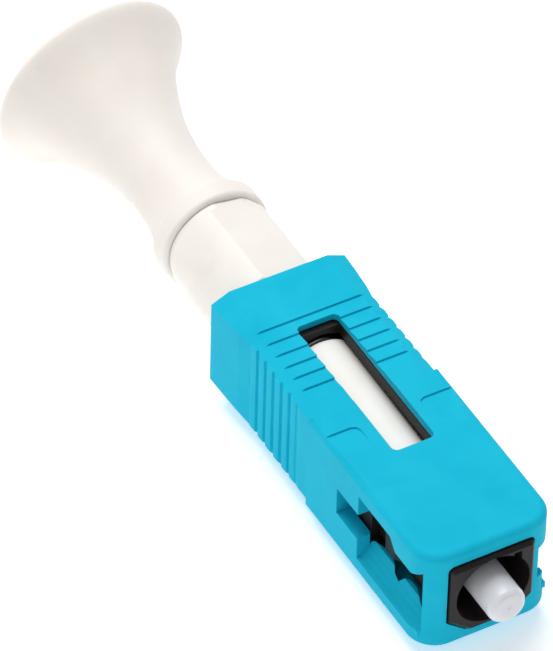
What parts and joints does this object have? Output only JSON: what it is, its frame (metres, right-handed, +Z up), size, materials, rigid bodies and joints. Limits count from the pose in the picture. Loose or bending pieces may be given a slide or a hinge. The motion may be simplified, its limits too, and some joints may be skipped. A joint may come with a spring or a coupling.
{
  "type": "fibre optic connector",
  "caption": "Square push-pull plug for one optical fibre, with a ceramic ferrule, a windowed sliding housing, a locking cam sleeve and a trumpet boot.",
  "frame": {"origin": "on the ferrule axis at the nominal front plane of the plug body, 0.25 mm behind the front face of the outer housing and 0.6 mm behind that of the plug frame", "axes": "+X along the optical axis out of the front, +Z up with the key underneath, +Y completes the frame"},
  "size_m": [0.0513, 0.0132, 0.0131],
  "materials": {
    "housing_plastic": "moulded aqua thermoplastic, satin gloss",
    "frame_plastic": "moulded black thermoplastic, fine texture",
    "ferrule_ceramic": "polished white technical ceramic",
    "glass_fibre": "bare optical glass, polished end",
    "white_plastic": "moulded warm white thermoplastic, satin",
    "clear_plastic": "moulded translucent thermoplastic",
    "spring_steel": "drawn stainless spring wire",
    "crimp_metal": "drawn soft alloy tube, crimped",
    "boot_rubber": "soft warm white elastomer, matt"
  },
  "bodies": {
    "frame": {"plug_frame": "frame_plastic", "spring_retainer": "frame_plastic", "spring": "spring_steel"},
    "housing": {"outer_housing": "housing_plastic"},
    "core": {"ferrule": "ferrule_ceramic", "fibre_stub": "glass_fibre", "ferrule_holder": "white_plastic", "splice_lower": "clear_plastic", "splice_upper": "clear_plastic", "crimp_tube": "crimp_metal", "lead_in_tube": "white_plastic", "boot": "boot_rubber"},
    "cam_sleeve": {"cam": "white_plastic"}
  },
  "joints": [
    {"name": "housing_slide", "type": "slide", "parent": "frame", "child": "housing", "axis": [1, 0, 0], "range_m": [0, 0.0015]},
    {"name": "ferrule_float", "type": "slide", "parent": "frame", "child": "core", "axis": [-1, 0, 0], "range_m": [0, 0.001], "stiffness_N_per_m": 300, "deforming": ["spring"]},
    {"name": "cam_turn", "type": "hinge", "parent": "core", "child": "cam_sleeve", "pos_m": [-0.03, 0, 0], "axis": [1, 0, 0], "range_deg": [-80, 10]}
  ]
}
